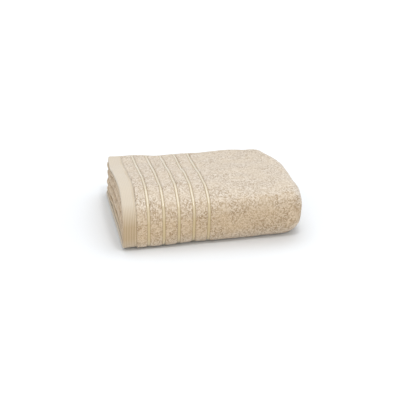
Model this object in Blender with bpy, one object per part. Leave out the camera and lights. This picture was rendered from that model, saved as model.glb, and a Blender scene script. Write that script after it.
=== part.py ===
"""A bath towel, folded in half twice along its length and then once across its width.

The cloth has its own coordinates: u runs along its length from hem A to hem B, v across its
width from the middle (0) to the two side hems, and n through its thickness. Every zone of the
cloth starts as a flat slab in u, v and n. Two fold functions carry it to its place in the pressed
stack, and a third settles the stack, which is lofty behind the front fold and soft at its corners.

World frame: metres, +X to the closed folds, -Y to the rounded front fold, +Z up, with the
origin on the floor below the middle of the folded towel.
"""

import math

import bmesh
import bpy
from mathutils import Vector

# The flat cloth
TOWEL_WIDTH = 0.70
TOWEL_LENGTH = 1.40
TERRY_THICKNESS = 0.0104
END_HEM_THICKNESS = 0.0064
SIDE_HEM_THICKNESS = 0.0054
RIB_THICKNESS = 0.0068

# Its zones, from each end inwards and from each side inwards
END_HEM_WIDTH = 0.027
FIRST_BAND_WIDTH = 0.0204
BAND_WIDTH = 0.024
RIB_WIDTH = 0.006
RIB_COUNT = 5
SIDE_HEM_WIDTH = 0.009

# The sewing thread of each hem, a flat line that lies just above the hem's face
THREAD_WIDTH = 0.001
THREAD_THICKNESS = 0.0006
THREAD_INSET = 0.0025

# The folds
LAYER_GAP = 0.0005
ZONE_GAP = 0.0003
RIGHT_TURN_STRETCH = 1.6
HEM_B_SETBACK = 0.003
LEFT_TURN_SETBACK = 0.004
CREST_PACKING = 0.5
CREST_SQUARENESS = 4.35

# How the soft stack settles: its height, as a share of the pressed stack's, at the front fold and
# along the ridge behind it, at the hems on the left and at the closed folds on the right
FRONT_LOFT_LEFT = 0.905
FRONT_LOFT_RIGHT = 1.196
RIDGE_LOFT_LEFT = 1.349
RIDGE_LOFT_RIGHT = 1.186
RIDGE_SETBACK = 0.073
FRONT_RISE_POWER = 1.58

# What is drawn in: the foot of the front fold towards the right, and both right corners.
# The hems spread to the left towards the back.
FRONT_UNDERCUT = 0.0365
FRONT_REACH = 0.12
BACK_CORNER_DRAW_IN = 0.0235
BACK_CORNER_POWER = 1.2
FRONT_CORNER_DRAW_IN = 0.006
FRONT_CORNER_POWER = 1.5
CORNER_REACH = 0.10
HEM_SPREAD = 0.005
HEM_SPREAD_REACH = 0.05

# Steps of the mesh
TURN_STEPS = 8
CREST_STEPS = 7
RUN_STEP = 0.045
RIDGE_STEPS = 2
BACK_STEPS = 4

# The bundle that the front fold bends in half, layer by layer from its inside out
FIRST_LAYER, SECOND_LAYER, THIRD_LAYER, OUTER_LAYER = range(4)
LAYERS = 4

# Sizes that follow
PITCH = TERRY_THICKNESS + LAYER_GAP
HALF_HEIGHT = LAYERS * PITCH - LAYER_GAP / 2
BUNDLE_MIDDLE = LAYERS * PITCH / 2
OUTER_TURN_RADIUS = BUNDLE_MIDDLE - PITCH / 2
INNER_TURN_RADIUS = PITCH / 2
RIGHT_TURN_REACH = RIGHT_TURN_STRETCH * (OUTER_TURN_RADIUS + TERRY_THICKNESS / 2)
LEFT_TURN_REACH = INNER_TURN_RADIUS + TERRY_THICKNESS / 2

TERRY_COLOUR = (0.66, 0.56, 0.43, 1.0)
SATEEN_COLOUR = (0.58, 0.46, 0.31, 1.0)
HEM_COLOUR = (0.70, 0.60, 0.47, 1.0)
THREAD_COLOUR = (0.74, 0.65, 0.52, 1.0)


def half_ellipse_length(a, b):
    """Ramanujan's formula, for half of the ellipse."""
    h = ((a - b) / (a + b)) ** 2
    return math.pi / 2 * (a + b) * (1 + 3 * h / (10 + math.sqrt(4 - 3 * h)))


def squared_radius(angle):
    """Polar radius of the unit superellipse, which makes the front fold fuller than a circle."""
    cosine = abs(math.cos(angle)) ** CREST_SQUARENESS
    sine = abs(math.sin(angle)) ** CREST_SQUARENESS
    return (cosine + sine) ** (-1 / CREST_SQUARENESS)


def crest_reach(level):
    """How far the front fold of a layer runs forward; the layers are packed closer there."""
    return (1 - CREST_PACKING) * HALF_HEIGHT + CREST_PACKING * level


def quarter_crest_length(level, steps=64):
    """Length of the cloth from the crest of the front fold to where it lies flat, at half length."""
    points = []
    for step in range(steps + 1):
        angle = math.pi / 2 * step / steps
        radius = squared_radius(angle)
        across = crest_reach(level) * math.cos(angle) * radius
        up = level * math.sin(angle) * radius
        points.append(Vector((across, up)))
    return sum((b - a).length for a, b in zip(points, points[1:]))


OUTER_TURN_LENGTH = half_ellipse_length(RIGHT_TURN_STRETCH * OUTER_TURN_RADIUS, OUTER_TURN_RADIUS)
INNER_TURN_LENGTH = half_ellipse_length(RIGHT_TURN_STRETCH * INNER_TURN_RADIUS, INNER_TURN_RADIUS)
LEFT_TURN_LENGTH = math.pi * INNER_TURN_RADIUS
TURNS_LENGTH = OUTER_TURN_LENGTH + INNER_TURN_LENGTH + LEFT_TURN_LENGTH
SETBACKS = HEM_B_SETBACK + 2 * (LEFT_TURN_SETBACK + LEFT_TURN_REACH)
OUTER_RUN = (TOWEL_LENGTH - TURNS_LENGTH + SETBACKS) / LAYERS
INNER_RUN = OUTER_RUN - LEFT_TURN_SETBACK - LEFT_TURN_REACH
FOLDED_LENGTH = OUTER_RUN + RIGHT_TURN_REACH

CREST_LENGTH = quarter_crest_length(HALF_HEIGHT - TERRY_THICKNESS / 2)
FOLDED_DEPTH = HALF_HEIGHT + TOWEL_WIDTH / 2 - CREST_LENGTH
CREST_CENTRE_Y = HALF_HEIGHT - FOLDED_DEPTH / 2

LEFT_X = (HEM_SPREAD - FOLDED_LENGTH) / 2
RIGHT_X = LEFT_X + FOLDED_LENGTH
FRONT_Y = -FOLDED_DEPTH / 2
BACK_Y = FOLDED_DEPTH / 2
RIGHT_TURN_X = LEFT_X + OUTER_RUN
LEFT_TURN_X = RIGHT_TURN_X - INNER_RUN


def layer_level(layer):
    """Height of a layer's middle over the plane that the front fold closes on."""
    return (layer + 0.5) * PITCH


def run(start, end, layer, facing):
    """A flat stretch of the cloth; facing is 1 where its n side looks away from the middle."""

    def place(share, n):
        return start + (end - start) * share, layer_level(layer) + facing * n

    length = abs(end - start)
    return length, place, math.ceil(length / RUN_STEP)


def right_turn(length, radius, upward, n_side):
    """A turn around the middle of the bundle; n_side is 1 where n looks out of the turn."""

    def place(share, n):
        angle = math.pi * (share - 0.5)
        grown = radius + n_side * n
        x = RIGHT_TURN_X + RIGHT_TURN_STRETCH * grown * math.cos(angle)
        return x, BUNDLE_MIDDLE + upward * grown * math.sin(angle)

    return length, place, TURN_STEPS


def left_turn():
    """The turn from the first layer to the second, with n looking out of it."""

    def place(share, n):
        angle = math.pi * (share - 0.5)
        grown = INNER_TURN_RADIUS + n
        return LEFT_TURN_X - grown * math.cos(angle), PITCH + grown * math.sin(angle)

    return LEFT_TURN_LENGTH, place, TURN_STEPS


# The cloth's whole length, from hem A to hem B
STRETCHES = (
    run(LEFT_X, RIGHT_TURN_X, OUTER_LAYER, 1),
    right_turn(OUTER_TURN_LENGTH, OUTER_TURN_RADIUS, -1, 1),
    run(RIGHT_TURN_X, LEFT_TURN_X, FIRST_LAYER, -1),
    left_turn(),
    run(LEFT_TURN_X, RIGHT_TURN_X, SECOND_LAYER, 1),
    right_turn(INNER_TURN_LENGTH, INNER_TURN_RADIUS, 1, -1),
    run(RIGHT_TURN_X, LEFT_X + HEM_B_SETBACK, THIRD_LAYER, -1),
)


def fold_lengthwise(u, n):
    """Where the first two folds put a point of the cloth: its x, and its level in the bundle."""
    start = 0.0
    for length, place, _ in STRETCHES[:-1]:
        if u <= start + length:
            return place((u - start) / length, n)
        start += length
    length, place, _ = STRETCHES[-1]
    return place((u - start) / length, n)


def share_along(x):
    """0 at the hems on the left, 1 at the closed folds on the right."""
    return min(max((x - LEFT_X) / FOLDED_LENGTH, 0), 1)


def fold_across(x, level, v):
    """Where the last fold puts a point of the bundle: v = 0 is the crest of the front fold."""
    side = math.copysign(1, v)
    if abs(v) >= CREST_LENGTH:
        y = CREST_CENTRE_Y + abs(v) - CREST_LENGTH
        return x, y, HALF_HEIGHT + side * level
    angle = math.pi / 2 * abs(v) / CREST_LENGTH
    radius = squared_radius(angle)
    y = CREST_CENTRE_Y - crest_reach(level) * math.cos(angle) * radius
    return x, y, HALF_HEIGHT + side * level * math.sin(angle) * radius


def ease(value, start, end):
    """0 before start, 1 after end, and smooth between them."""
    share = min(max((value - start) / (end - start), 0), 1)
    return share * share * (3 - 2 * share)


def loft(x, y):
    """How much higher the settled stack is than the pressed one."""
    along = share_along(x)
    front = FRONT_LOFT_LEFT + (FRONT_LOFT_RIGHT - FRONT_LOFT_LEFT) * along
    ridge = RIDGE_LOFT_LEFT + (RIDGE_LOFT_RIGHT - RIDGE_LOFT_LEFT) * along
    ridge_y = FRONT_Y + RIDGE_SETBACK
    if y < ridge_y:
        return ridge - (ridge - front) * min((ridge_y - y) / RIDGE_SETBACK, 1) ** FRONT_RISE_POWER
    return ridge + (1 - ridge) * ease(y, ridge_y, BACK_Y)


def settle(x, y, z):
    """Where a point of the pressed stack comes to rest."""
    along = share_along(x)
    near_front = 1 - ease(y, FRONT_Y, FRONT_Y + FRONT_REACH)
    near_right = ease(x, RIGHT_X - CORNER_REACH, RIGHT_X)
    near_left = 1 - ease(x, LEFT_X, LEFT_X + HEM_SPREAD_REACH)
    back_corner = max(y - BACK_Y + CORNER_REACH, 0) / CORNER_REACH
    front_corner = max(FRONT_Y + CORNER_REACH - y, 0) / CORNER_REACH
    draw_in = BACK_CORNER_DRAW_IN * back_corner**BACK_CORNER_POWER
    draw_in += FRONT_CORNER_DRAW_IN * front_corner**FRONT_CORNER_POWER
    undercut = FRONT_UNDERCUT * (1 - z / (2 * HALF_HEIGHT))
    return Vector((
        x - near_right * draw_in - near_left * HEM_SPREAD * ease(y, FRONT_Y, BACK_Y),
        y + near_front * along * undercut,
        z * loft(x, y),
    ))


def u_stations(first, last):
    """The rows of a zone: its ends, and steps through each turn between them."""
    stations = []
    start = 0.0
    for length, _, steps in STRETCHES:
        stations += [start + length * step / steps for step in range(steps + 1)]
        start += length
    inside = {round(u, 6) for u in stations if first + ZONE_GAP < u < last - ZONE_GAP}
    return [first, *sorted(inside), last]


def v_stations(first, last):
    """The columns of a zone: its edges, and steps through the front fold and over the ridge."""
    ridge = CREST_LENGTH + FRONT_Y + RIDGE_SETBACK - CREST_CENTRE_Y
    edge = TOWEL_WIDTH / 2
    half = [CREST_LENGTH * step / CREST_STEPS for step in range(CREST_STEPS)]
    half += [CREST_LENGTH + (ridge - CREST_LENGTH) * step / RIDGE_STEPS for step in range(RIDGE_STEPS)]
    half += [ridge + (edge - ridge) * step / BACK_STEPS for step in range(BACK_STEPS)]
    stations = {*half, *(-v for v in half)}
    return [first, *sorted(v for v in stations if first < v < last), last]


def make_material(name, colour, roughness):
    material = bpy.data.materials.new(name)
    material.use_nodes = True
    shader = material.node_tree.nodes["Principled BSDF"]
    shader.inputs["Base Color"].default_value = colour
    shader.inputs["Roughness"].default_value = roughness
    shader.inputs["Metallic"].default_value = 0.0
    material.diffuse_color = colour
    return material


def make_zone(name, u_range, v_range, n_range, material, collection, parent):
    """A zone of the cloth: a flat slab of u, v and n, folded point by point."""
    rows = u_stations(*u_range)
    columns = v_stations(*v_range)
    cloth = bmesh.new()
    bmesh.ops.create_grid(cloth, x_segments=len(rows) - 1, y_segments=len(columns) - 1, size=0.5)
    raised = bmesh.ops.extrude_face_region(cloth, geom=cloth.faces[:])
    lifted = [item for item in raised["geom"] if isinstance(item, bmesh.types.BMVert)]
    bmesh.ops.translate(cloth, vec=(0, 0, 1), verts=lifted)
    for vertex in cloth.verts:
        u = rows[round((vertex.co.x + 0.5) * (len(rows) - 1))]
        v = columns[round((vertex.co.y + 0.5) * (len(columns) - 1))]
        n = n_range[round(vertex.co.z)]
        vertex.co = settle(*fold_across(*fold_lengthwise(u, n), v))

    corners = [vertex.co.copy() for vertex in cloth.verts]
    low = Vector(min(corner[axis] for corner in corners) for axis in range(3))
    high = Vector(max(corner[axis] for corner in corners) for axis in range(3))
    middle = (low + high) / 2
    bmesh.ops.translate(cloth, vec=-middle, verts=cloth.verts)
    bmesh.ops.recalc_face_normals(cloth, faces=cloth.faces)

    mesh = bpy.data.meshes.new(name)
    cloth.to_mesh(mesh)
    cloth.free()
    mesh.shade_smooth()
    mesh.set_sharp_from_angle(angle=math.radians(40))
    mesh.materials.append(material)
    zone = bpy.data.objects.new(name, mesh)
    zone.location = middle
    zone.parent = parent
    collection.objects.link(zone)
    return zone


def slab(thickness):
    """The n range of a zone that is centred in its layer."""
    return -thickness / 2, thickness / 2


def along(first, last):
    """A range along the cloth that keeps half of the gap to each neighbouring zone."""
    if first > 0:
        first += ZONE_GAP / 2
    if last < TOWEL_LENGTH:
        last -= ZONE_GAP / 2
    return first, last


def border_zones():
    """Name, start, end and kind of each zone of a border, from the cloth's end inwards."""
    zones = [("end_hem", 0.0, END_HEM_WIDTH, "hem")]
    start = END_HEM_WIDTH
    for number in range(1, RIB_COUNT + 1):
        band = FIRST_BAND_WIDTH if number == 1 else BAND_WIDTH
        zones.append((f"terry_band_{number}", start, start + band, "terry"))
        start += band
        zones.append((f"sateen_rib_{number}", start, start + RIB_WIDTH, "sateen"))
        start += RIB_WIDTH
    return zones


def remove_scene_objects():
    for item in list(bpy.data.objects):
        bpy.data.objects.remove(item, do_unlink=True)


def main():
    remove_scene_objects()
    collection = bpy.data.collections.new("bath_towel")
    bpy.context.scene.collection.children.link(collection)
    towel = bpy.data.objects.new("bath_towel", None)
    collection.objects.link(towel)

    terry = make_material("cotton_terry", TERRY_COLOUR, 0.95)
    sateen = make_material("cotton_sateen", SATEEN_COLOUR, 0.45)
    plain = make_material("cotton_plain_weave", HEM_COLOUR, 0.85)
    thread = make_material("sewing_thread", THREAD_COLOUR, 0.60)
    kinds = {
        "hem": (END_HEM_THICKNESS, plain),
        "terry": (TERRY_THICKNESS, terry),
        "sateen": (RIB_THICKNESS, sateen),
    }

    side_edge = TOWEL_WIDTH / 2
    side_start = side_edge - SIDE_HEM_WIDTH
    body_edge = side_start - ZONE_GAP
    body_width = (-body_edge, body_edge)
    border = border_zones()
    border_end = border[-1][2]

    for end in ("a", "b"):
        for name, start, stop, kind in border:
            reach = along(start, stop)
            if end == "b":
                reach = along(TOWEL_LENGTH - stop, TOWEL_LENGTH - start)
            thickness, material = kinds[kind]
            make_zone(f"{name}_{end}", reach, body_width, slab(thickness), material, collection, towel)

    field = along(border_end, TOWEL_LENGTH - border_end)
    make_zone("terry_field", field, body_width, slab(TERRY_THICKNESS), terry, collection, towel)

    full_length = (0.0, TOWEL_LENGTH)
    sides = {"top": (side_start, side_edge), "bottom": (-side_edge, -side_start)}
    for name, width in sides.items():
        hem = slab(SIDE_HEM_THICKNESS)
        make_zone(f"side_hem_{name}", full_length, width, hem, plain, collection, towel)

    end_seam = END_HEM_THICKNESS / 2 + ZONE_GAP
    end_seam_range = (end_seam, end_seam + THREAD_THICKNESS)
    seam_middle = END_HEM_WIDTH - THREAD_INSET
    for end, middle in (("a", seam_middle), ("b", TOWEL_LENGTH - seam_middle)):
        reach = (middle - THREAD_WIDTH / 2, middle + THREAD_WIDTH / 2)
        make_zone(f"end_hem_thread_{end}", reach, body_width, end_seam_range, thread, collection, towel)

    side_seam = SIDE_HEM_THICKNESS / 2 + ZONE_GAP
    side_seam_range = (side_seam, side_seam + THREAD_THICKNESS)
    for name, sign in (("top", 1), ("bottom", -1)):
        middle = sign * (side_start + THREAD_INSET)
        width = (middle - THREAD_WIDTH / 2, middle + THREAD_WIDTH / 2)
        make_zone(f"side_hem_thread_{name}", full_length, width, side_seam_range, thread, collection, towel)


main()
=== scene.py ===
import math

import bpy
import numpy as np
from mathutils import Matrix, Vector


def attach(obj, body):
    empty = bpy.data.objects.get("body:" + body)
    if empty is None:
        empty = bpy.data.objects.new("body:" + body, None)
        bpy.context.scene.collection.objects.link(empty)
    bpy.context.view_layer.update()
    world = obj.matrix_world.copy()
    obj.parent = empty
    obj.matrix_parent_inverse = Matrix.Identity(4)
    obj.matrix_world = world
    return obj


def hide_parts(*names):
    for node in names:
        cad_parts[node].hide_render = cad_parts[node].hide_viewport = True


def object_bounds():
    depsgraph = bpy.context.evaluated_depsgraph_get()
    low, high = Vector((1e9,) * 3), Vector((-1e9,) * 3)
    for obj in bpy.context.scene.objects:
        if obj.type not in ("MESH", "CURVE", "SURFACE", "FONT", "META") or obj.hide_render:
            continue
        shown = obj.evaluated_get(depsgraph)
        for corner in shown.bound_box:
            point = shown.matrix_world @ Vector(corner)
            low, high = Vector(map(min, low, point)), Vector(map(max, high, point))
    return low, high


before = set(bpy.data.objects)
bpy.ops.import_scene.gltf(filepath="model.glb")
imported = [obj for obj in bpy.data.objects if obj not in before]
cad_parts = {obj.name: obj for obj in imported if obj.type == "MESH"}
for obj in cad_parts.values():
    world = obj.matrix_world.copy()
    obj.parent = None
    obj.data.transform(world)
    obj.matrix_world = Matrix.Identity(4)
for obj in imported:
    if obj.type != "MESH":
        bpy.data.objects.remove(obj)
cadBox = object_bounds()
cadLow, cadHigh = cadBox

# u runs along the cloth from hem A to hem B, v across it from the crest of the front fold, n through it
cloth = {
    "width": 0.70,
    "length": 1.40,
    "terryThickness": 0.0104,
    "ribThickness": 0.0068,
    "endHemThickness": 0.0064,
    "sideHemThickness": 0.0054,
    "endHemWidth": 0.027,
    "firstBandWidth": 0.0204,
    "bandWidth": 0.024,
    "ribWidth": 0.006,
    "ribCount": 5,
    "sideHemWidth": 0.009,
}

# the pressed stack
fold = {
    "layerGap": 0.0005,
    "zoneGap": 0.0003,  # between two zones of the weave
    "rightStretch": 1.6,  # the folds on the right bulge this much more than a half circle
    "hemBSetback": 0.003,
    "leftSetback": 0.004,
    "crestPacking": 0.5,  # how much of their spacing the layers keep around the front fold
    "crestSquareness": 4.35,  # 2 is a round front fold, more is squarer
}

# how the soft stack settles: heights are shares of the pressed stack's, at the left and at the right
settle = {
    "frontLoft": (0.905, 1.196),
    "ridgeLoft": (1.349, 1.186),
    "ridgeSetback": 0.073,
    "frontRisePower": 1.58,
    "frontUndercut": 0.0365,
    "frontReach": 0.12,
    "backCornerDrawIn": 0.0235,
    "backCornerPower": 1.2,
    "frontCornerDrawIn": 0.006,
    "frontCornerPower": 1.5,
    "cornerReach": 0.10,
    "hemSpread": 0.005,
    "hemSpreadReach": 0.05,
}

pitch = cloth["terryThickness"] + fold["layerGap"]
halfHeight = 4 * pitch - fold["layerGap"] / 2
bundleMiddle = 2 * pitch
outerRadius = 1.5 * pitch
innerRadius = 0.5 * pitch
leftX = cadLow[0] + settle["hemSpread"]
rightX = cadHigh[0]
backY = cadHigh[1]
frontY = -backY
rightTurnX = rightX - fold["rightStretch"] * (outerRadius + cloth["terryThickness"] / 2)
leftTurnX = leftX + fold["leftSetback"] + innerRadius + cloth["terryThickness"] / 2
crestCentreY = frontY + halfHeight
crestLength = cloth["width"] / 2 - (backY - crestCentreY)


def halfEllipse(a, b):
    h = ((a - b) / (a + b)) ** 2
    return math.pi / 2 * (a + b) * (1 + 3 * h / (10 + math.sqrt(4 - 3 * h)))


def flatRun(start, end, layer, facing):
    def place(share, n):
        return start + (end - start) * share, (layer + 0.5) * pitch + facing * n

    return abs(end - start), place


def rightTurn(radius, upward, nSide):
    def place(share, n):
        angle = math.pi * (share - 0.5)
        grown = radius + nSide * n
        x = rightTurnX + fold["rightStretch"] * grown * np.cos(angle)
        return x, bundleMiddle + upward * grown * np.sin(angle)

    return halfEllipse(fold["rightStretch"] * radius, radius), place


def leftTurn():
    def place(share, n):
        angle = math.pi * (share - 0.5)
        grown = innerRadius + n
        return leftTurnX - grown * np.cos(angle), pitch + grown * np.sin(angle)

    return math.pi * innerRadius, place


stretches = [
    flatRun(leftX, rightTurnX, 3, 1),
    rightTurn(outerRadius, -1, 1),
    flatRun(rightTurnX, leftTurnX, 0, -1),
    leftTurn(),
    flatRun(leftTurnX, rightTurnX, 1, 1),
    rightTurn(innerRadius, 1, -1),
    flatRun(rightTurnX, leftX + fold["hemBSetback"], 2, -1),
]


def foldLengthwise(u, n):
    x = np.zeros_like(u)
    level = np.zeros_like(u)
    start = 0.0
    for number, (length, place) in enumerate(stretches):
        here = u >= start if number else np.ones_like(u, bool)
        x[here], level[here] = place((u[here] - start) / length, n[here])
        start += length
    return x, level


def between(ends, share):
    return ends[0] + (ends[1] - ends[0]) * share


def shareAlong(x):
    return np.clip((x - leftX) / (rightX - leftX), 0, 1)


def foldAcross(level, v):
    side = np.where(v < 0, -1.0, 1.0)
    along = np.abs(v)
    angle = np.clip(math.pi / 2 * along / crestLength, 0, math.pi / 2)
    power = fold["crestSquareness"]
    radius = (np.abs(np.cos(angle)) ** power + np.abs(np.sin(angle)) ** power) ** (-1 / power)
    reach = (1 - fold["crestPacking"]) * halfHeight + fold["crestPacking"] * level
    y = crestCentreY - reach * np.cos(angle) * radius
    y = np.where(along > crestLength, crestCentreY + along - crestLength, y)
    return y, halfHeight + side * level * np.sin(angle) * radius


def ease(value, start, end):
    share = np.clip((value - start) / (end - start), 0, 1)
    return share * share * (3 - 2 * share)


def loft(x, y):
    along = shareAlong(x)
    front = between(settle["frontLoft"], along)
    ridge = between(settle["ridgeLoft"], along)
    ridgeY = frontY + settle["ridgeSetback"]
    toRidge = np.clip((ridgeY - y) / settle["ridgeSetback"], 0, 1)
    rising = ridge - (ridge - front) * toRidge ** settle["frontRisePower"]
    falling = ridge + (1 - ridge) * ease(y, ridgeY, backY)
    return np.where(y < ridgeY, rising, falling)


def settleStack(x, y, z):
    along = shareAlong(x)
    nearFront = 1 - ease(y, frontY, frontY + settle["frontReach"])
    nearRight = ease(x, rightX - settle["cornerReach"], rightX)
    nearLeft = 1 - ease(x, leftX, leftX + settle["hemSpreadReach"])
    backCorner = np.maximum(y - backY + settle["cornerReach"], 0) / settle["cornerReach"]
    frontCorner = np.maximum(frontY + settle["cornerReach"] - y, 0) / settle["cornerReach"]
    drawIn = settle["backCornerDrawIn"] * backCorner ** settle["backCornerPower"]
    drawIn += settle["frontCornerDrawIn"] * frontCorner ** settle["frontCornerPower"]
    undercut = settle["frontUndercut"] * (1 - z / (2 * halfHeight))
    newX = x - nearRight * drawIn - nearLeft * settle["hemSpread"] * ease(y, frontY, backY)
    newY = y + nearFront * along * undercut
    return newX, newY, z * loft(x, y)


def waves(places, size, seed, count=14):
    # soft random undulation of about -1 to 1, with bumps of about this size
    usualPeak = 1.6
    rng = np.random.default_rng(seed)
    total = np.zeros(len(places))
    for _ in range(count):
        direction = rng.normal(size=places.shape[1])
        direction /= np.linalg.norm(direction)
        stretch = rng.uniform(0.7, 1.5)
        total += np.cos(places @ direction * (math.pi * stretch / size) + rng.uniform(0, 2 * math.pi))
    return total / math.sqrt(count / 2) / usualPeak


# the small unevenness of a stack of limp cloth, in metres
unevenness = {
    "top": 0.0009,
    "topSize": 0.075,
    "topPower": 1.5,  # how quickly it fades towards the floor
    "front": 0.0009,
    "frontSize": 0.06,
    "frontSquash": 0.8,  # the bulges of the front are this much lower than they are long
    "frontReach": 0.09,
    "frontLean": 0.3,  # the front keeps inside the stack by this share of a bulge
    "layers": 0.0030,
    "layersSize": 0.05,
    "layerSpacing": 0.010,  # layers this far apart wave on their own
    "leftEdges": 0.0008,
    "leftEdgesSize": 0.07,
    "leftEdgesDepth": 0.05,
    "leftReach": 0.0045,  # the layers inside the stack reach further out than the outer one
    "footReach": 0.0016,  # and so do the ones below the middle
    "footHeight": 0.08,
    "hemTuck": 0.0040,  # the top hem lies further in at its back corner
    "hemTuckFrom": 0.12,
    "topLayer": (0.65, 0.85),  # the share of the half height where the top layer starts
    "topFrom": 0.05,  # how far from the crest the cloth counts as the top
    "backCornerSoftness": 0.0025,  # every layer's back corner is a little rounded
    "backCornerReach": 0.018,
    "backEdges": 0.0025,
    "backEdgesSize": 0.08,
    "backEdgesDepth": 0.06,
    "backLean": 0.8,  # the back edges keep inside the stack by this share
}


def placeCloth(u, v, n):
    u, v, n = (np.asarray(a, float).ravel() for a in (u, v, n))
    uneven = unevenness
    flatX, level = foldLengthwise(u, n)
    layerLevel = foldLengthwise(u, np.zeros_like(u))[1]
    depth = np.clip(layerLevel / halfHeight, 0, 1)
    layerHere = layerLevel / uneven["layerSpacing"]
    # the inner layers wave between the outer ones
    inner = np.sin(math.pi * depth)
    layerWaves = waves(np.column_stack([flatX, v]), uneven["layersSize"], seed=3)
    level = level + uneven["layers"] * inner * layerWaves
    flatY, flatZ = foldAcross(level, v)
    x, y, z = settleStack(flatX, flatY, flatZ)
    # the edges at the left don't line up
    nearLeft = 1 - ease(flatX, leftX, leftX + uneven["leftEdgesDepth"])
    ragged = waves(np.column_stack([layerHere, v / uneven["leftEdgesSize"]]), 1.0, seed=5)
    shift = (1 - depth) * (uneven["leftEdges"] * ragged - uneven["leftReach"])
    shift -= uneven["footReach"] * ease(-v, 0, uneven["footHeight"])
    onTop = ease(v, 0, uneven["topFrom"]) * ease(depth, *uneven["topLayer"])
    shift += uneven["hemTuck"] * onTop * ease(flatY, backY - uneven["hemTuckFrom"], backY)
    shift += uneven["backCornerSoftness"] * ease(flatY, backY - uneven["backCornerReach"], backY)
    x = x + nearLeft * shift
    # nor do those at the back
    nearBack = ease(flatY, backY - uneven["backEdgesDepth"], backY)
    half = np.sign(v) * 3  # the two halves wave on their own
    ragged = waves(np.column_stack([layerHere, half + flatX / uneven["backEdgesSize"]]), 1.0, seed=7)
    y = y + uneven["backEdges"] * nearBack * (ragged - uneven["backLean"])
    # the top and the front undulate, and the floor side stays flat
    up = np.clip(flatZ / (2 * halfHeight), 0, 1.1)
    topWaves = waves(np.column_stack([flatX, flatY]), uneven["topSize"], seed=11)
    z = z + uneven["top"] * up ** uneven["topPower"] * topWaves
    atFront = 1 - ease(flatY, frontY, frontY + uneven["frontReach"])
    bulge = waves(np.column_stack([flatX, flatZ * uneven["frontSquash"]]), uneven["frontSize"], seed=13)
    y = y + uneven["front"] * atFront * (bulge + uneven["frontLean"])
    return np.column_stack([x, y, z])


def loopHeads(u, v, size, seed):
    # rounded bumps of 0 to 1, one in each jittered cell, like the heads of loops
    a = u / size
    b = v / size
    baseA = np.floor(a)
    baseB = np.floor(b)
    nearest = np.full(a.shape, 9.0)
    for stepA in (-1, 0, 1):
        for stepB in (-1, 0, 1):
            cellA = baseA + stepA
            cellB = baseB + stepB
            key = cellA * 127.1 + cellB * 311.7 + seed * 17.3  # scattered without a random generator
            jitterA = np.modf(np.abs(np.sin(key) * 43758.5453))[0]
            jitterB = np.modf(np.abs(np.sin(key + 41.3) * 24634.6345))[0]
            away = (cellA + 0.15 + 0.7 * jitterA - a) ** 2 + (cellB + 0.15 + 0.7 * jitterB - b) ** 2
            nearest = np.minimum(nearest, away)
    return np.clip(1 - nearest * 1.3, 0, 1)


def bevelled(distance, radius):
    # height of a rounded edge, 0 at the edge and 1 inside
    share = np.clip(distance / radius, 0, 1)
    return np.sqrt(1 - (1 - share) ** 2)


def stations(*spans):
    # (start, end, spacing) spans joined into one list of places
    places = [spans[0][0]]
    for start, end, spacing in spans:
        steps = max(1, round((end - start) / spacing))
        places += [start + (end - start) * step / steps for step in range(1, steps + 1)]
    return np.array(places)


def linkedPiece(name, points, faces, material, nodeName):
    mesh = bpy.data.meshes.new(name)
    mesh.from_pydata(points.tolist(), [], faces)
    mesh.shade_smooth()
    mesh.materials.append(material)
    piece = bpy.data.objects.new(name, mesh)
    bpy.context.scene.collection.objects.link(piece)
    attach(piece, "root")
    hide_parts(nodeName)
    return piece


def closedCloth(names, rows, columns, outer, inner, relief, material):
    # outer and inner are n for each row and column; the four edges are closed between them
    # relief is 0 in a furrow of the weave and 1 on its crown; the materials read it
    name, nodeName = names
    u, v = np.meshgrid(rows, columns, indexing="ij")
    points = np.vstack([placeCloth(u, v, outer), placeCloth(u, v, inner)])
    front = np.arange(u.size).reshape(u.shape)
    back = front + u.size
    quads = [
        np.stack([front[:-1, :-1], front[1:, :-1], front[1:, 1:], front[:-1, 1:]], -1).reshape(-1, 4),
        np.stack([back[:-1, :-1], back[:-1, 1:], back[1:, 1:], back[1:, :-1]], -1).reshape(-1, 4),
    ]
    for edge, under, flip in (
        (front[0], back[0], False),
        (front[-1], back[-1], True),
        (front[:, 0], back[:, 0], True),
        (front[:, -1], back[:, -1], False),
    ):
        strip = np.stack([edge[:-1], edge[1:], under[1:], under[:-1]], -1)
        quads.append(strip[:, ::-1] if flip else strip)
    piece = linkedPiece(name, points, np.vstack(quads).tolist(), material, nodeName)
    place = piece.data.attributes.new("clothPlace", "FLOAT_VECTOR", "POINT")
    flat = np.column_stack([u.ravel(), v.ravel(), np.broadcast_to(relief, u.shape).ravel()])
    place.data.foreach_set("vector", np.vstack([flat, flat]).ravel())
    return piece


def hexColour(code):
    channels = [int(code[i : i + 2], 16) / 255 for i in (0, 2, 4)]
    return tuple(c / 12.92 if c <= 0.04045 else ((c + 0.055) / 1.055) ** 2.4 for c in channels) + (1.0,)


def addNode(tree, kind, settings=None, inputs=None):
    node = tree.nodes.new(kind)
    for name, value in (settings or {}).items():
        setattr(node, name, value)
    for name, value in (inputs or {}).items():
        if isinstance(value, bpy.types.NodeSocket):
            tree.links.new(value, node.inputs[name])
        else:
            node.inputs[name].default_value = value
    return node


# a colour mix takes its two colours at these inputs and gives the result at this output
lowColour = 6
highColour = 7
mixed = 2


def newMaterial(name):
    material = bpy.data.materials.new(name)
    material.use_nodes = True
    tree = material.node_tree
    return material, tree, tree.nodes["Principled BSDF"]


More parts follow.
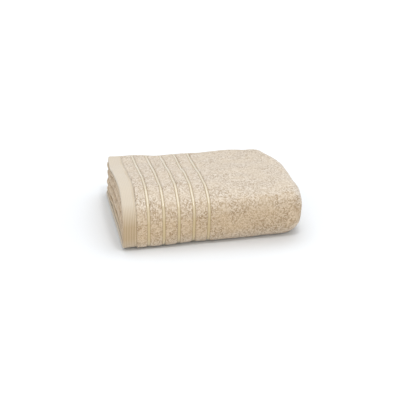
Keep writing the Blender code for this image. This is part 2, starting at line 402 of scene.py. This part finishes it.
def clothMillimetres(tree):
    # the place on the flat cloth in millimetres, and the relief from 0 to 1
    place = addNode(tree, "ShaderNodeAttribute", {"attribute_name": "clothPlace"})
    parts = addNode(tree, "ShaderNodeSeparateXYZ", {}, {"Vector": place.outputs["Vector"]})
    scaled = addNode(tree, "ShaderNodeVectorMath", {"operation": "MULTIPLY"}, {
        0: place.outputs["Vector"],
        1: (1000.0, 1000.0, 0.0),
    })
    return scaled.outputs[0], parts.outputs["Z"]


# painted shade: the cloth is painted deeper and warmer where it bends round the front fold, whose face gets
# less light, and inside the stack, where it only gets light that has bounced between its layers
paintedFoldShade = {
    "bentWithin": 14.0,  # mm from the crest
    "flatFrom": 50.0,
    "outsideUntil": 400.0,  # mm from hem A
    "insideFrom": 440.0,
    "shadeTint": "F8ECDA",  # painted shade: multiplies the colour of the cloth
}


def paintedShadeShares(tree, place):
    # shares of the painted shade: first, 1 where the cloth bends round the front fold; then, 1 there and
    # inside the stack as well
    parts = addNode(tree, "ShaderNodeSeparateXYZ", {}, {"Vector": place})
    fromCrest = addNode(tree, "ShaderNodeMath", {"operation": "ABSOLUTE"}, {0: parts.outputs["Y"]})
    foldShadeShare = addNode(tree, "ShaderNodeMapRange", {}, {
        "Value": fromCrest.outputs[0],
        "From Min": paintedFoldShade["flatFrom"],
        "From Max": paintedFoldShade["bentWithin"],
    })
    inside = addNode(tree, "ShaderNodeMapRange", {}, {
        "Value": parts.outputs["X"],
        "From Min": paintedFoldShade["outsideUntil"],
        "From Max": paintedFoldShade["insideFrom"],
    })
    shadeShare = addNode(tree, "ShaderNodeMath", {"operation": "MAXIMUM"}, {
        0: foldShadeShare.outputs["Result"],
        1: inside.outputs["Result"],
    })
    return foldShadeShare.outputs["Result"], shadeShare.outputs[0]


# cotton terry: a looped, uncut pile, so it is matt and grainy, with painted shade between the loop heads
terry = {
    "loopTip": "DED4C6",
    "loopGap": "A08A6D",
    "cast": "D7C8B2",
    "castShare": 0.4,
    "castSize": 38.0,  # mm
    "loopSize": 2.4,  # mm; real loops are about 1.2 mm, drawn in pairs so that they show
    "loopJitter": 0.9,
    "loopSpread": 0.9,  # how unlike each other single loops are
    "tuftSize": 4.5,  # mm
    "tuftSpread": 0.14,
    "reliefSpread": 0.4,  # how much the real relief adds to the drawn loops
    "roughness": 0.95,
    "specular": 0.25,
    "bump": 0.45,
    "bumpHeight": 0.0012,
    "sheen": 0.25,
    "sheenRoughness": 0.6,
}


def cottonTerry():
    material, tree, shader = newMaterial("cottonTerryLoopPile")
    place, relief = clothMillimetres(tree)
    loops = addNode(tree, "ShaderNodeTexVoronoi", {"voronoi_dimensions": "2D"}, {
        "Vector": place,
        "Scale": 1 / terry["loopSize"],
        "Randomness": terry["loopJitter"],
    })
    tufts = addNode(tree, "ShaderNodeTexNoise", {"noise_dimensions": "2D"}, {
        "Vector": place,
        "Scale": 1 / terry["tuftSize"],
        "Detail": 3.0,
    })
    cast = addNode(tree, "ShaderNodeTexNoise", {"noise_dimensions": "2D"}, {
        "Vector": place,
        "Scale": 1 / terry["castSize"],
        "Detail": 2.0,
    })
    # the height of the pile from 0 to 1: round loops, each a little unlike the next, in uneven tufts
    roundLoops = addNode(tree, "ShaderNodeMapRange", {}, {
        "Value": loops.outputs["Distance"],
        "From Max": 0.8,
        "To Min": 1.0,
        "To Max": 0.1,
    })
    eachLoop = addNode(tree, "ShaderNodeSeparateXYZ", {}, {"Vector": loops.outputs["Color"]})
    loopLift = addNode(tree, "ShaderNodeMath", {"operation": "MULTIPLY_ADD"}, {
        0: eachLoop.outputs["X"],
        1: terry["loopSpread"],
        2: -terry["loopSpread"] / 2,
    })
    tuftLift = addNode(tree, "ShaderNodeMapRange", {}, {
        "Value": tufts.outputs["Fac"],
        "From Min": 0.3,
        "From Max": 0.7,
        "To Min": -terry["tuftSpread"],
        "To Max": terry["tuftSpread"],
    })
    reliefLift = addNode(tree, "ShaderNodeMath", {"operation": "MULTIPLY_ADD"}, {
        0: relief,
        1: terry["reliefSpread"],
        2: -terry["reliefSpread"] / 2,
    })
    drawnLift = addNode(tree, "ShaderNodeMath", {"operation": "ADD"}, {
        0: loopLift.outputs[0],
        1: tuftLift.outputs["Result"],
    })
    wholeLift = addNode(tree, "ShaderNodeMath", {"operation": "ADD"}, {
        0: drawnLift.outputs[0],
        1: reliefLift.outputs[0],
    })
    height = addNode(tree, "ShaderNodeMath", {"operation": "ADD", "use_clamp": True}, {
        0: roundLoops.outputs["Result"],
        1: wholeLift.outputs[0],
    })
    # partly random tone, partly painted shade: the lower the pile, the darker its colour
    pile = addNode(tree, "ShaderNodeMix", {"data_type": "RGBA"}, {
        "Factor": height.outputs[0],
        lowColour: hexColour(terry["loopGap"]),
        highColour: hexColour(terry["loopTip"]),
    })
    castShare = addNode(tree, "ShaderNodeMapRange", {}, {
        "Value": cast.outputs["Fac"],
        "From Min": 0.35,
        "From Max": 0.65,
        "To Max": terry["castShare"],
    })
    dyed = addNode(tree, "ShaderNodeMix", {"data_type": "RGBA"}, {
        "Factor": castShare.outputs["Result"],
        lowColour: pile.outputs[mixed],
        highColour: hexColour(terry["cast"]),
    })
    # painted shade round the front fold and inside the stack
    shadedColour = addNode(tree, "ShaderNodeMix", {"data_type": "RGBA", "blend_type": "MULTIPLY"}, {
        "Factor": paintedShadeShares(tree, place)[1],
        lowColour: dyed.outputs[mixed],
        highColour: hexColour(paintedFoldShade["shadeTint"]),
    })
    bump = addNode(tree, "ShaderNodeBump", {}, {
        "Height": height.outputs[0],
        "Strength": terry["bump"],
        "Distance": terry["bumpHeight"],
    })
    tree.links.new(shadedColour.outputs[mixed], shader.inputs["Base Color"])
    tree.links.new(bump.outputs["Normal"], shader.inputs["Normal"])
    shader.inputs["Roughness"].default_value = terry["roughness"]
    shader.inputs["Sheen Weight"].default_value = terry["sheen"]
    shader.inputs["Sheen Roughness"].default_value = terry["sheenRoughness"]
    shader.inputs["Specular IOR Level"].default_value = terry["specular"]
    return material


waveScale = 0.314  # a wave texture of this scale has one band in each unit


# cotton sateen: long floating threads lie flat and parallel, so it is golden and softly shiny,
# pale where it mirrors the light, with painted shade in the furrow along each of its edges
sateen = {
    "thread": "D8CCB6",
    "between": "CCBFA3",
    "furrow": "AC9973",
    "foldShadeTint": "F0E4C6",  # painted shade: multiplies the colour round the front fold and inside the stack
    "threadPitch": 0.9,  # mm; real floats are about 0.3 mm apart, drawn coarser to show
    "waviness": 0.6,
    "roughness": 0.26,
    "specular": 1.0,
    "bump": 0.2,
    "bumpHeight": 0.0003,
    "sheen": 0.5,
    "sheenRoughness": 0.35,
}


def cottonSateen():
    material, tree, shader = newMaterial("cottonSateenFloats")
    place, relief = clothMillimetres(tree)
    threads = addNode(tree, "ShaderNodeTexWave", {"wave_type": "BANDS", "bands_direction": "X"}, {
        "Vector": place,
        "Scale": waveScale / sateen["threadPitch"],
        "Distortion": sateen["waviness"],
        "Detail": 1.0,
    })
    floats = addNode(tree, "ShaderNodeMix", {"data_type": "RGBA"}, {
        "Factor": threads.outputs["Fac"],
        lowColour: hexColour(sateen["between"]),
        highColour: hexColour(sateen["thread"]),
    })
    # painted shade: each rib is painted darker in the furrow along its edges
    rib = addNode(tree, "ShaderNodeMix", {"data_type": "RGBA"}, {
        "Factor": relief,
        lowColour: hexColour(sateen["furrow"]),
        highColour: floats.outputs[mixed],
    })
    # painted shade round the front fold and inside the stack
    shadedColour = addNode(tree, "ShaderNodeMix", {"data_type": "RGBA", "blend_type": "MULTIPLY"}, {
        "Factor": paintedShadeShares(tree, place)[1],
        lowColour: rib.outputs[mixed],
        highColour: hexColour(sateen["foldShadeTint"]),
    })
    bump = addNode(tree, "ShaderNodeBump", {}, {
        "Height": threads.outputs["Fac"],
        "Strength": sateen["bump"],
        "Distance": sateen["bumpHeight"],
    })
    tree.links.new(shadedColour.outputs[mixed], shader.inputs["Base Color"])
    tree.links.new(bump.outputs["Normal"], shader.inputs["Normal"])
    shader.inputs["Roughness"].default_value = sateen["roughness"]
    shader.inputs["Specular IOR Level"].default_value = sateen["specular"]
    shader.inputs["Sheen Weight"].default_value = sateen["sheen"]
    shader.inputs["Sheen Roughness"].default_value = sateen["sheenRoughness"]
    return material


# cotton plain weave: close, even and matt, so the hems look smooth, with fine lines of warp
plainWeave = {
    "thread": "D0C5B4",
    "furrow": "A39072",
    "warpPitch": 3.2,  # mm; real threads are about 0.5 mm apart, drawn coarser to show
    "weftPitch": 1.6,
    "weftShare": 0.2,
    "waviness": 0.8,
    "closed": 0.2,  # how much of the furrows shows where the cloth lies flat; round the front fold all of them show, partly as painted shade
    "roughness": 0.8,
    "specular": 0.3,
    "bump": 0.3,
    "bumpHeight": 0.0004,
    "sheen": 0.2,
    "sheenRoughness": 0.5,
}


def cottonPlainWeave():
    material, tree, shader = newMaterial("cottonPlainWeave")
    place = clothMillimetres(tree)[0]
    threads = []
    for direction, pitchName, share in (
        ("X", "warpPitch", 1 - plainWeave["weftShare"]),
        ("Y", "weftPitch", plainWeave["weftShare"]),
    ):
        bands = addNode(tree, "ShaderNodeTexWave", {"wave_type": "BANDS", "bands_direction": direction}, {
            "Vector": place,
            "Scale": waveScale / plainWeave[pitchName],
            "Distortion": plainWeave["waviness"],
            "Detail": 1.0,
        })
        threads.append(addNode(tree, "ShaderNodeMath", {"operation": "MULTIPLY"}, {
            0: bands.outputs["Fac"],
            1: share,
        }))
    weave = addNode(tree, "ShaderNodeMath", {"operation": "ADD"}, {
        0: threads[0].outputs[0],
        1: threads[1].outputs[0],
    })
    foldShadeShare, shadeShare = paintedShadeShares(tree, place)
    # the weave's lines are its pattern; showing them in full round the front fold is painted shade
    showing = addNode(tree, "ShaderNodeMath", {"operation": "MULTIPLY_ADD"}, {
        0: foldShadeShare,
        1: 1 - plainWeave["closed"],
        2: plainWeave["closed"],
    })
    furrow = addNode(tree, "ShaderNodeMath", {"operation": "SUBTRACT"}, {0: 1.0, 1: weave.outputs[0]})
    furrowShare = addNode(tree, "ShaderNodeMath", {"operation": "MULTIPLY"}, {
        0: furrow.outputs[0],
        1: showing.outputs[0],
    })
    cloth = addNode(tree, "ShaderNodeMix", {"data_type": "RGBA"}, {
        "Factor": furrowShare.outputs[0],
        lowColour: hexColour(plainWeave["thread"]),
        highColour: hexColour(plainWeave["furrow"]),
    })
    # painted shade round the front fold and inside the stack
    shadedColour = addNode(tree, "ShaderNodeMix", {"data_type": "RGBA", "blend_type": "MULTIPLY"}, {
        "Factor": shadeShare,
        lowColour: cloth.outputs[mixed],
        highColour: hexColour(paintedFoldShade["shadeTint"]),
    })
    bump = addNode(tree, "ShaderNodeBump", {}, {
        "Height": weave.outputs[0],
        "Strength": plainWeave["bump"],
        "Distance": plainWeave["bumpHeight"],
    })
    tree.links.new(shadedColour.outputs[mixed], shader.inputs["Base Color"])
    tree.links.new(bump.outputs["Normal"], shader.inputs["Normal"])
    shader.inputs["Roughness"].default_value = plainWeave["roughness"]
    shader.inputs["Sheen Weight"].default_value = plainWeave["sheen"]
    shader.inputs["Sheen Roughness"].default_value = plainWeave["sheenRoughness"]
    shader.inputs["Specular IOR Level"].default_value = plainWeave["specular"]
    return material


# spun polyester thread, lockstitched: short bright stitches that dip into the cloth at their ends
stitching = {
    "colour": "EADCC2",
    "shade": "D6C4A4",
    "twist": 900.0,  # per metre, so the ply shows about once a millimetre; the real one is finer
    "roughness": 0.5,
    "stitch": 0.0032,
    "gap": 0.0005,
    "thickness": 0.0006,
    "flattened": 1.2,  # a stitch is this much wider than it is high
    "dip": 0.0002,
    "inset": 0.0025,
    "fromSeamEnds": 0.002,
    "fromClothEnds": 0.003,
    "sunkAtEndHem": 0.0007,
    "sunkAtSideHem": 0.0001,
    "sides": 6,
    "rings": 5,
}


def spunThread():
    material, tree, shader = newMaterial("spunPolyesterThread")
    place = addNode(tree, "ShaderNodeTexCoord")
    twist = addNode(tree, "ShaderNodeTexNoise", {}, {
        "Vector": place.outputs["Object"],
        "Scale": stitching["twist"],
    })
    colour = addNode(tree, "ShaderNodeMix", {"data_type": "RGBA"}, {
        "Factor": twist.outputs["Fac"],
        lowColour: hexColour(stitching["shade"]),
        highColour: hexColour(stitching["colour"]),
    })
    tree.links.new(colour.outputs[mixed], shader.inputs["Base Color"])
    shader.inputs["Roughness"].default_value = stitching["roughness"]
    return material


print("materials")
terryMaterial = cottonTerry()
sateenMaterial = cottonSateen()
plainMaterial = cottonPlainWeave()
threadMaterial = spunThread()

# metres between the places where each kind of cloth is modelled
spacing = {
    "fine": 0.0013,  # where the pile is seen
    "hiddenAcross": 0.006,  # where it lies on the floor or inside the stack
    "hiddenAlong": 0.02,
    "hiddenBand": 0.005,
    "bandEdge": 0.001,
    "bandEdgeReach": 0.004,
    "turn": 0.003,
    "leftFold": 0.0018,
    "leftFoldReach": 0.02,
    "bodyEdge": 0.0015,
    "bodyEdgeReach": 0.006,
    "flatReach": 0.004,  # how far past the front fold the fine pile goes on below
}

sideStart = cloth["width"] / 2 - cloth["sideHemWidth"]
bodyEdge = sideStart - fold["zoneGap"]
flatStart = crestLength + spacing["flatReach"]
bodyColumns = stations(
    (-bodyEdge, -bodyEdge + spacing["bodyEdgeReach"], spacing["bodyEdge"]),
    (-bodyEdge + spacing["bodyEdgeReach"], -flatStart, spacing["hiddenAcross"]),
    (-flatStart, bodyEdge, spacing["fine"]),
)
gap = fold["zoneGap"] / 2
clothLength = cloth["length"]


def spreadWaves(u, v, size, seed, count=14):
    return waves(np.column_stack([u.ravel(), v.ravel()]), size, seed, count).reshape(u.shape)


# the turned-over hems at the two ends
endHem = {
    "edge": 0.0028,  # the free edge rounds off over this width
    "puff": 0.0003,
    "puffSize": 0.03,
    "pinch": 0.0007,  # the seam pulls the plies together
    "pinchFromSeamEdge": 0.0025,
    "pinchWidth": 0.0016,
    "sunk": 0.0002,
    "edgeSpacing": 0.0005,
    "edgeReach": 0.004,
    "spacing": 0.0015,
}


def endHemZone(names, start, end, freeAtStart):
    rows = stations(
        (start, start + endHem["edgeReach"], endHem["edgeSpacing"]),
        (start + endHem["edgeReach"], end - endHem["edgeReach"], endHem["spacing"]),
        (end - endHem["edgeReach"], end, endHem["edgeSpacing"]),
    )
    u, v = np.meshgrid(rows, bodyColumns, indexing="ij")
    free = u - rows[0] if freeAtStart else rows[-1] - u
    sewn = rows[-1] - u if freeAtStart else u - rows[0]
    rounded = bevelled(free + 0.0001, endHem["edge"])
    puff = endHem["puff"] * spreadWaves(u, v, endHem["puffSize"], seed=31)
    pinch = endHem["pinch"] * np.exp(-((sewn - endHem["pinchFromSeamEdge"]) / endHem["pinchWidth"]) ** 2)
    height = cloth["endHemThickness"] / 2 * rounded + (puff - pinch) * rounded - endHem["sunk"]
    return closedCloth(names, rows, bodyColumns, height, -height, 1.0, plainMaterial)


print("end hems")
hemA = endHemZone(("endHemA", "end_hem_a"), 0.0, cloth["endHemWidth"] - gap, True)
hemB = endHemZone(("endHemB", "end_hem_b"), clothLength - cloth["endHemWidth"] + gap, clothLength, False)

pile = {
    "edge": 0.0019,  # the pile rounds off over this width
    "loopRelief": 0.0005,
    "loopWidth": 0.0026,
    "tuftRelief": 0.00018,
    "tuftWidth": 0.009,
    "tuftWaves": 24,
    "reliefSpan": 0.0014,  # from the deepest gap to the highest loop
    "sunk": 0.0003,
    "sunkBelow": 0.0001,
}


def terryZone(names, rows):
    u, v = np.meshgrid(rows, bodyColumns, indexing="ij")
    base = cloth["ribThickness"] / 2
    full = cloth["terryThickness"] / 2
    fromSides = np.minimum(bodyEdge - np.abs(v), 1.0)
    fromEnds = np.minimum(u - rows[0], rows[-1] - u)
    crown = bevelled(np.minimum(fromSides, fromEnds), pile["edge"])
    loops = pile["loopRelief"] * (loopHeads(u, v, pile["loopWidth"], seed=1) - 0.5)
    tufts = pile["tuftRelief"] * spreadWaves(u, v, pile["tuftWidth"], seed=21, count=pile["tuftWaves"])
    relief = np.clip(0.5 + (loops + tufts) / pile["reliefSpan"], 0, 1)
    outer = base + (full - base) * crown + (loops + tufts) * crown - pile["sunk"]
    inner = pile["sunkBelow"] - base - (full - base) * crown
    return closedCloth(names, rows, bodyColumns, outer, inner, relief, terryMaterial)


ribs = {
    "rise": 0.0005,  # the floats puff up a little above the ground weave
    "underPile": 0.0007,  # how far a rib runs under the pile on each side
    "furrowFrom": 0.0006,
    "furrowUntil": 0.0019,  # the furrow along each edge of a rib
    "furrowDepth": 0.0006,
    "spacing": 0.0005,
}


def ribZone(names, start, end):
    rows = stations((start, end, ribs["spacing"]))
    u, v = np.meshgrid(rows, bodyColumns, indexing="ij")
    crown = ease(np.minimum(u - start, end - u), ribs["furrowFrom"], ribs["furrowUntil"])
    height = cloth["ribThickness"] / 2 + ribs["rise"] * crown - ribs["furrowDepth"] * (1 - crown)
    return closedCloth(names, rows, bodyColumns, height, -height, crown, sateenMaterial)


print("borders")
borderPairs = []  # each band, its width and the rib beside it
zoneStart = cloth["endHemWidth"]
edgeReach = spacing["bandEdgeReach"]
for number in range(1, cloth["ribCount"] + 1):
    width = cloth["firstBandWidth"] if number == 1 else cloth["bandWidth"]
    bandStart = zoneStart + gap
    bandEnd = zoneStart + width - gap
    mirrorStart = clothLength - bandEnd
    mirrorEnd = clothLength - bandStart
    seenRows = stations((bandStart, bandEnd, spacing["fine"]))
    hiddenRows = stations(
        (mirrorStart, mirrorStart + edgeReach, spacing["bandEdge"]),
        (mirrorStart + edgeReach, mirrorEnd - edgeReach, spacing["hiddenBand"]),
        (mirrorEnd - edgeReach, mirrorEnd, spacing["bandEdge"]),
    )
    bandA = terryZone((f"terryBand{number}A", f"terry_band_{number}_a"), seenRows)
    bandB = terryZone((f"terryBand{number}B", f"terry_band_{number}_b"), hiddenRows)
    zoneStart += width
    ribStart = zoneStart + gap - ribs["underPile"]
    ribEnd = zoneStart + cloth["ribWidth"] - gap + ribs["underPile"]
    ribA = ribZone((f"sateenRib{number}A", f"sateen_rib_{number}_a"), ribStart, ribEnd)
    ribB = ribZone(
        (f"sateenRib{number}B", f"sateen_rib_{number}_b"), clothLength - ribEnd, clothLength - ribStart
    )
    borderPairs += [(bandA, width, ribA), (bandB, width, ribB)]
    zoneStart += cloth["ribWidth"]

print("terry field")
borderEnd = cloth["endHemWidth"] + cloth["firstBandWidth"] + cloth["ribWidth"]
borderEnd += (cloth["ribCount"] - 1) * (cloth["bandWidth"] + cloth["ribWidth"])
outerTurnStart = stretches[0][0]
outerTurnEnd = outerTurnStart + stretches[1][0]
lastSeen = outerTurnStart + stretches[1][0] * 0.8  # the pile is seen over most of the outer turn
leftFoldStart = outerTurnEnd + stretches[2][0]
leftFoldEnd = leftFoldStart + stretches[3][0]
innerTurnStart = leftFoldEnd + stretches[4][0]
innerTurnEnd = innerTurnStart + stretches[5][0]
fieldRows = stations(
    (borderEnd + gap, lastSeen, spacing["fine"]),
    (lastSeen, outerTurnEnd, spacing["turn"]),
    (outerTurnEnd, leftFoldStart - spacing["leftFoldReach"], spacing["hiddenAlong"]),
    (leftFoldStart - spacing["leftFoldReach"], leftFoldEnd + spacing["leftFoldReach"], spacing["leftFold"]),
    (leftFoldEnd + spacing["leftFoldReach"], innerTurnStart, spacing["hiddenAlong"]),
    (innerTurnStart, innerTurnEnd, spacing["turn"]),
    (innerTurnEnd, clothLength - borderEnd - gap, spacing["hiddenAlong"]),
)
field = terryZone(("terryField", "terry_field"), fieldRows)

# the narrow hems along the two sides
sideHem = {
    "edge": 0.0024,
    "endEdge": 0.002,
    "puff": 0.0003,
    "puffSize": 0.02,
    "sunk": 0.0002,
    "spacingAcross": 0.0009,
    "spacingAlong": 0.0035,
}


def sideHemZone(names, side):
    columns = stations((sideStart, sideStart + cloth["sideHemWidth"], sideHem["spacingAcross"]))
    columns = np.sort(side * columns)
    rows = stations((0.0, clothLength, sideHem["spacingAlong"]))
    u, v = np.meshgrid(rows, columns, indexing="ij")
    free = cloth["width"] / 2 - np.abs(v)
    ends = np.minimum(u, clothLength - u)
    rounded = bevelled(free + 0.0001, sideHem["edge"]) * bevelled(ends + 0.0002, sideHem["endEdge"])
    puff = sideHem["puff"] * spreadWaves(u, v, sideHem["puffSize"], seed=41)
    height = cloth["sideHemThickness"] / 2 * rounded + puff * rounded - sideHem["sunk"]
    return closedCloth(names, rows, columns, height, -height, 1.0, plainMaterial)


print("side hems")
sideTop = sideHemZone(("sideHemTop", "side_hem_top"), 1)
sideBottom = sideHemZone(("sideHemBottom", "side_hem_bottom"), -1)


def stitchRow(names, line, alongU, surface, first, last):
    # one seam: capsule-like stitches laid end to end along u or v, at height surface on the n side
    name, nodeName = names
    sides = stitching["sides"]
    rings = stitching["rings"]
    step = stitching["stitch"] + stitching["gap"]
    ringShare = np.linspace(0, 1, rings)
    girth = np.sin(math.pi * np.clip(ringShare, 0.08, 0.92)) ** 0.5
    turn = np.arange(sides) / sides * 2 * math.pi
    allU = []
    allV = []
    allN = []
    faces = []
    for number in range(int((last - first) / step)):
        along = first + number * step + ringShare * stitching["stitch"]
        for ring in range(rings):
            radius = stitching["thickness"] / 2 * girth[ring]
            across = line + radius * np.cos(turn) * stitching["flattened"]
            here = np.full(sides, along[ring])
            dip = stitching["dip"] * (2 * ringShare[ring] - 1) ** 2
            allU.append(here if alongU else across)
            allV.append(across if alongU else here)
            allN.append(surface + radius * np.sin(turn) - dip)
        base = number * rings * sides
        for ring in range(rings - 1):
            for side in range(sides):
                a = base + ring * sides + side
                b = base + ring * sides + (side + 1) % sides
                faces.append((a, b, b + sides, a + sides))
        faces.append(tuple(base + side for side in reversed(range(sides))))
        faces.append(tuple(base + (rings - 1) * sides + side for side in range(sides)))
    points = placeCloth(np.concatenate(allU), np.concatenate(allV), np.concatenate(allN))
    return linkedPiece(name, points, faces, threadMaterial, nodeName)


print("seams")
endSeam = cloth["endHemThickness"] / 2 - stitching["sunkAtEndHem"]
sideSeam = cloth["sideHemThickness"] / 2 - stitching["sunkAtSideHem"]
seamU = cloth["endHemWidth"] - stitching["inset"]
seamV = sideStart + stitching["inset"]
seamEnd = bodyEdge - stitching["fromSeamEnds"]
firstU = stitching["fromClothEnds"]
lastU = clothLength - firstU
threadA = stitchRow(("endHemThreadA", "end_hem_thread_a"), seamU, False, endSeam, -seamEnd, seamEnd)
threadB = stitchRow(
    ("endHemThreadB", "end_hem_thread_b"), clothLength - seamU, False, endSeam, -seamEnd, seamEnd
)
threadTop = stitchRow(("sideHemThreadTop", "side_hem_thread_top"), seamV, True, sideSeam, firstU, lastU)
threadBottom = stitchRow(
    ("sideHemThreadBottom", "side_hem_thread_bottom"), -seamV, True, sideSeam, firstU, lastU
)

stageLook = {
    "floor": "EBEEF1",
    "floorSize": 30.0,
    "floorRoughness": 0.9,
    "glow": 0.6,  # painted light: the floor glows, brightening to pure white between the two distances below
    "glowFrom": 0.22,
    "glowUntil": 1.4,
    "world": 0.77,
    "worldColour": "FFFFFF",
}

lampAim = Vector((0.0, 0.0, 0.04))
lamps = {
    "key": {"power": 10.9, "size": 1.5, "place": (0.16, 0.3, 1.65), "colour": "FAFCFF"},
    # a small lamp, for the highlights on the sateen
    "glint": {"power": 4.9, "size": 0.2, "place": (0.1, -0.62, 1.6), "colour": "FFFFFF"},
    "fill": {"power": 5.2, "size": 1.2, "place": (-0.5, -2.2, 0.55), "colour": "FFF4E8"},
}


def makeFloor():
    bpy.ops.mesh.primitive_plane_add(size=stageLook["floorSize"])
    floor = bpy.context.object
    floor.name = "floor"
    material, tree, shader = newMaterial("sweepWithPaintedLight")
    # painted light: the floor glows more the further it lies from its middle, though it is no lamp
    place = addNode(tree, "ShaderNodeTexCoord")
    away = addNode(tree, "ShaderNodeVectorMath", {"operation": "LENGTH"}, {0: place.outputs["Object"]})
    glow = addNode(tree, "ShaderNodeMapRange", {}, {
        "Value": away.outputs["Value"],
        "From Min": stageLook["glowFrom"],
        "From Max": stageLook["glowUntil"],
        "To Max": stageLook["glow"],
    })
    tree.links.new(glow.outputs["Result"], shader.inputs["Emission Strength"])
    shader.inputs["Emission Color"].default_value = hexColour("FFFFFF")
    shader.inputs["Base Color"].default_value = hexColour(stageLook["floor"])
    shader.inputs["Roughness"].default_value = stageLook["floorRoughness"]
    floor.data.materials.append(material)


def makeLamp(name, look):
    light = bpy.data.lights.new(name, "AREA")
    light.energy = look["power"]
    light.size = look["size"]
    light.color = hexColour(look["colour"])[:3]
    lamp = bpy.data.objects.new(name, light)
    lamp.location = look["place"]
    lamp.rotation_euler = (lampAim - Vector(look["place"])).to_track_quat("-Z", "Y").to_euler()
    bpy.context.scene.collection.objects.link(lamp)


def makeWorld():
    world = bpy.data.worlds.new("studio")
    world.use_nodes = True
    background = world.node_tree.nodes["Background"]
    background.inputs["Color"].default_value = hexColour(stageLook["worldColour"])
    background.inputs["Strength"].default_value = stageLook["world"]
    bpy.context.scene.world = world


cameraView = {
    "azimuth": -8.8,  # degrees
    "elevation": 22.25,
    "distance": 2.84,
    "lens": 123.0,
    "sensor": 36.0,
    "clipEnd": 50.0,
    "aim": (-0.0044, 0.0011, 0.0354),
}


def makeCamera():
    azimuth = math.radians(cameraView["azimuth"])
    elevation = math.radians(cameraView["elevation"])
    back = Vector((
        math.sin(azimuth) * math.cos(elevation),
        -math.cos(azimuth) * math.cos(elevation),
        math.sin(elevation),
    ))
    lens = bpy.data.cameras.new("camera")
    lens.lens = cameraView["lens"]
    lens.sensor_width = cameraView["sensor"]
    lens.clip_end = cameraView["clipEnd"]
    camera = bpy.data.objects.new("camera", lens)
    camera.location = Vector(cameraView["aim"]) + back * cameraView["distance"]
    camera.rotation_euler = back.to_track_quat("Z", "Y").to_euler()
    bpy.context.scene.collection.objects.link(camera)
    bpy.context.scene.camera = camera


print("stage, lights and camera")
makeFloor()
for lampName, lampLook in lamps.items():
    makeLamp(lampName, lampLook)
makeWorld()
makeCamera()
bpy.context.scene.view_settings.view_transform = "Standard"

bpy.context.view_layer.update()
